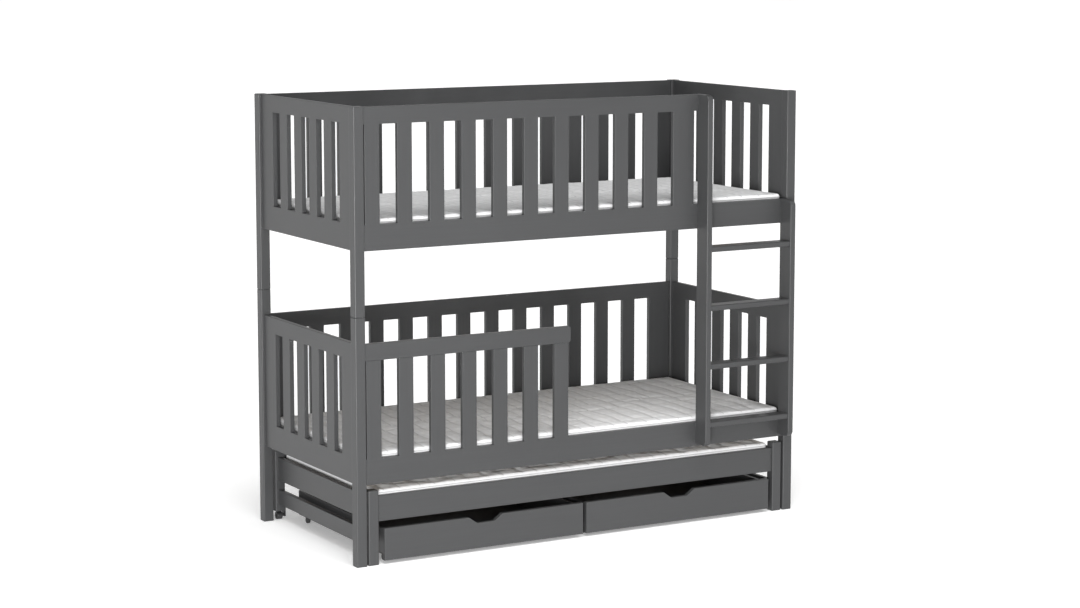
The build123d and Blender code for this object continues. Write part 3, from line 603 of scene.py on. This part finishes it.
def puffed(mesh, points, seam, form):
    """The cover after it swells between its sewn lines, by cloth simulation."""
    piece = bpy.data.objects.new("cover_sim", mesh)
    scene.collection.objects.link(piece)
    hold_points(piece, points, seam, form)
    cloth = piece.modifiers.new("cloth", "CLOTH")
    cloth.settings.vertex_group_mass = "sewn"
    cloth.settings.effector_weights.gravity = 0
    for name, value in CLOTH_VALUES.items():
        setattr(cloth.settings, name, value)
    cloth.collision_settings.use_collision = False
    cloth.point_cache.frame_start = 1
    cloth.point_cache.frame_end = SIMULATED_FRAMES
    for number in range(1, SIMULATED_FRAMES + 1):
        scene.frame_set(number)
    evaluated = piece.evaluated_get(bpy.context.evaluated_depsgraph_get())
    moved = np.empty(len(evaluated.data.vertices) * 3)
    evaluated.data.vertices.foreach_get("co", moved)
    moved = moved.reshape(-1, 3)
    scene.frame_set(1)
    bpy.data.objects.remove(piece)
    return moved


def capped(before, after):
    """The moved points, with the way that each has gone limited to the cap."""
    travel = after - before
    length = np.linalg.norm(travel, axis=1)
    scale = np.ones_like(length)
    over = length > TINY
    scale[over] = PUFF_CAP * np.tanh(length[over] / PUFF_CAP) / length[over]
    return before + travel * scale[:, None]


def inside_box(points, form):
    """The points kept inside the CAD solid's box."""
    half = np.array([form.half_length + BASE_INSET, form.half_width + BASE_INSET])
    return np.clip(points, [*-half, 0], [*half, form.box_height])


def mattress_mesh(node, seed):
    """The cover's final mesh, with its base centred on the origin."""
    form = CoverForm(node)
    flat, faces, seam = mattress_grid(form)
    distance = form.line_distances(flat)
    hold = edge_hold(flat, form)
    points = quilted(rounded(flat, form), flat, distance, hold, form, seed)
    mesh = bpy.data.meshes.new(f"{node}_cover")
    mesh.from_pydata(points.tolist(), [], faces)
    mesh.update()
    moved = capped(points, puffed(mesh, points, seam, form))
    moved = inside_box(drawn_in(points + (moved - points) * hold[:, None], form), form)
    mesh.vertices.foreach_set("co", moved.ravel())
    attribute = mesh.attributes.new("seam", "FLOAT", "POINT")
    attribute.data.foreach_set("value", seam)
    mesh.polygons.foreach_set("use_smooth", [True] * len(mesh.polygons))
    mesh.update()
    return mesh


def cover_from(mesh, node, turned=False):
    """Places a mattress cover where its CAD solid is."""
    piece = bpy.data.objects.new(f"{node}_cover", mesh.copy() if turned else mesh)
    if turned:
        piece.data.transform(Matrix.Rotation(math.pi, 4, "Z"))
    piece.location = CoverForm(node).place
    scene.collection.objects.link(piece)
    piece.data.materials.append(knit_cover)
    smooth = piece.modifiers.new("smooth", "SUBSURF")
    smooth.levels = smooth.render_levels = 1
    return piece


def edge_path(form):
    """A closed rounded rectangle with points along its sides, drawn in as the cover is."""
    corners = []
    for side_x, side_y, start in ((1, 1, 0), (-1, 1, 90), (-1, -1, 180), (1, -1, 270)):
        for step in range(PIPING_CORNER_STEPS + 1):
            angle = math.radians(start + 90 * step / PIPING_CORNER_STEPS)
            corners.append((side_x * (form.half_length - EDGE_ROUND) + EDGE_ROUND * math.cos(angle),
                            side_y * (form.half_width - EDGE_ROUND) + EDGE_ROUND * math.sin(angle)))
    points = []
    for first, second in zip(corners, corners[1:] + corners[:1]):
        steps = max(1, round(math.dist(first, second) / PIPING_STEP))
        for step in range(steps):
            share = step / steps
            points.append([here + (there - here) * share for here, there in zip(first, second)])
    return drawn_in(np.array(points), form)


def piping(node, height_share, name):
    """A tape edge round a mattress."""
    form = CoverForm(node)
    curve = bpy.data.curves.new(name, "CURVE")
    curve.dimensions = "3D"
    curve.bevel_depth = PIPING_RADIUS
    curve.bevel_resolution = PIPING_FACETS
    path = edge_path(form)
    spline = curve.splines.new("POLY")
    spline.points.add(len(path) - 1)
    for point, (x, y) in zip(spline.points, path):
        point.co = (x, y, 0, 1)
    spline.use_cyclic_u = True
    piece = bpy.data.objects.new(name, curve)
    x, y, z = form.place
    piece.location = (x, y, z + form.box_height * height_share)
    scene.collection.objects.link(piece)
    curve.materials.append(knit_piping_and_shade)
    return piece


def make_mattress(node, body, mesh, turned=False):
    """Puts a cover and its tape edges in place of a CAD mattress, on the body that carries it."""
    cover = cover_from(mesh, node, turned)
    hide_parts(node)
    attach(cover, body)
    for word, share in PIPING_HEIGHT_SHARES.items():
        tape = piping(node, share, f"{node}_{word}_piping")
        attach(tape, body)


bunk_mesh = mattress_mesh("lower_mattress", seed=5)
make_mattress("lower_mattress", "frame", bunk_mesh)
make_mattress("upper_mattress", "frame", bunk_mesh, turned=True)
make_mattress("trundle_mattress", "trundle", mattress_mesh("trundle_mattress", seed=9))


# Floor, lights and surroundings

FLOOR_REACH = 60.0
FLOOR_DROP = 0.0002
FLOOR_COLOUR = (0.98, 0.98, 0.98, 1)
FLOOR_GLOW = 0.2
WHITE = (1, 1, 1, 1)
SUN_MARK_DISTANCE = 5


def make_floor():
    """A wide pale floor, just under the feet so that nothing of it shows through them."""
    reach = FLOOR_REACH
    corners = [(-reach, -reach, 0), (reach, -reach, 0), (reach, reach, 0), (-reach, reach, 0)]
    mesh = bpy.data.meshes.new("floor")
    mesh.from_pydata(corners, [], [(0, 1, 2, 3)])
    floor = bpy.data.objects.new("floor", mesh)
    floor.location.z = -FLOOR_DROP
    scene.collection.objects.link(floor)
    g = Surface("pale_floor")
    g.set(Base_Color=FLOOR_COLOUR, Roughness=0.9, Specular_IOR_Level=0.1)
    g.set(Emission_Color=WHITE, Emission_Strength=FLOOR_GLOW)
    mesh.materials.append(g.material)


def soft_light(name, place, target, size, power):
    """A round lamp that faces a target."""
    light = bpy.data.lights.new(name, "AREA")
    light.shape = "DISK"
    light.size = size
    light.energy = power
    lamp = bpy.data.objects.new(name, light)
    lamp.location = place
    lamp.rotation_euler = (Vector(target) - Vector(place)).to_track_quat("-Z", "Y").to_euler()
    scene.collection.objects.link(lamp)


def soft_sun(name, toward, angle, strength):
    """A wide, far source, as a large overhead diffuser is."""
    light = bpy.data.lights.new(name, "SUN")
    light.angle = math.radians(angle)
    light.energy = strength
    lamp = bpy.data.objects.new(name, light)
    lamp.location = Vector(toward) * SUN_MARK_DISTANCE
    lamp.rotation_euler = Vector(toward).to_track_quat("Z", "Y").to_euler()
    scene.collection.objects.link(lamp)


def brightness(g, value, stops):
    """A brightness that follows a number between 0 and 1 through the given stops."""
    brightest = max(level for _, level in stops)
    share = g.ramp(value, [(place, [level / brightest] * 3) for place, level in stops])
    return g.maths("MULTIPLY", share, brightest)


def make_world(walls, ceiling, depth):
    """A pale studio: low white walls all round, under a ceiling that is brightest on the front side.

    Walls and ceiling give brightness by the sine of the height angle. Depth gives the ceiling's
    share of it from the front, 0, to the back, 1.
    """
    world = bpy.data.worlds.new("studio")
    world.use_nodes = True
    g = Graph(world.node_tree)
    place = g.node("ShaderNodeTexCoord").outputs["Generated"]
    direction = g.node("ShaderNodeSeparateXYZ", {0: place})
    height = direction.outputs["Z"]
    backward = g.maths("ADD", g.maths("MULTIPLY", direction.outputs["Y"], 0.5), 0.5)
    above = g.maths("MULTIPLY", brightness(g, height, ceiling), brightness(g, backward, depth))
    total = g.maths("MAXIMUM", brightness(g, height, walls), above)
    background = g.tree.nodes["Background"]
    background.inputs["Color"].default_value = WHITE
    g.tree.links.new(total, background.inputs["Strength"])
    scene.world = world


make_floor()
make_world(walls=((0, 1.03), (0.28, 1.03), (0.38, 0)),
           ceiling=((0, 0.5), (0.55, 0.5), (0.75, 0.8), (1, 0.8)),
           depth=((0, 2.0), (0.5, 0.8), (0.7, 0.1), (1, 0.05)))
soft_sun("high", toward=(-0.15, -0.42, 0.9), angle=40, strength=1.45)
soft_light("key", place=(-4.9, -3.9, 0.7), target=(0, 0, 0.9), size=1.6, power=50)
soft_light("fill", place=(-4.1, -6.1, 0.5), target=(-0.3, 0, 0.5), size=1.6, power=590)
scene.view_settings.view_transform = "Standard"
scene.view_settings.look = "None"
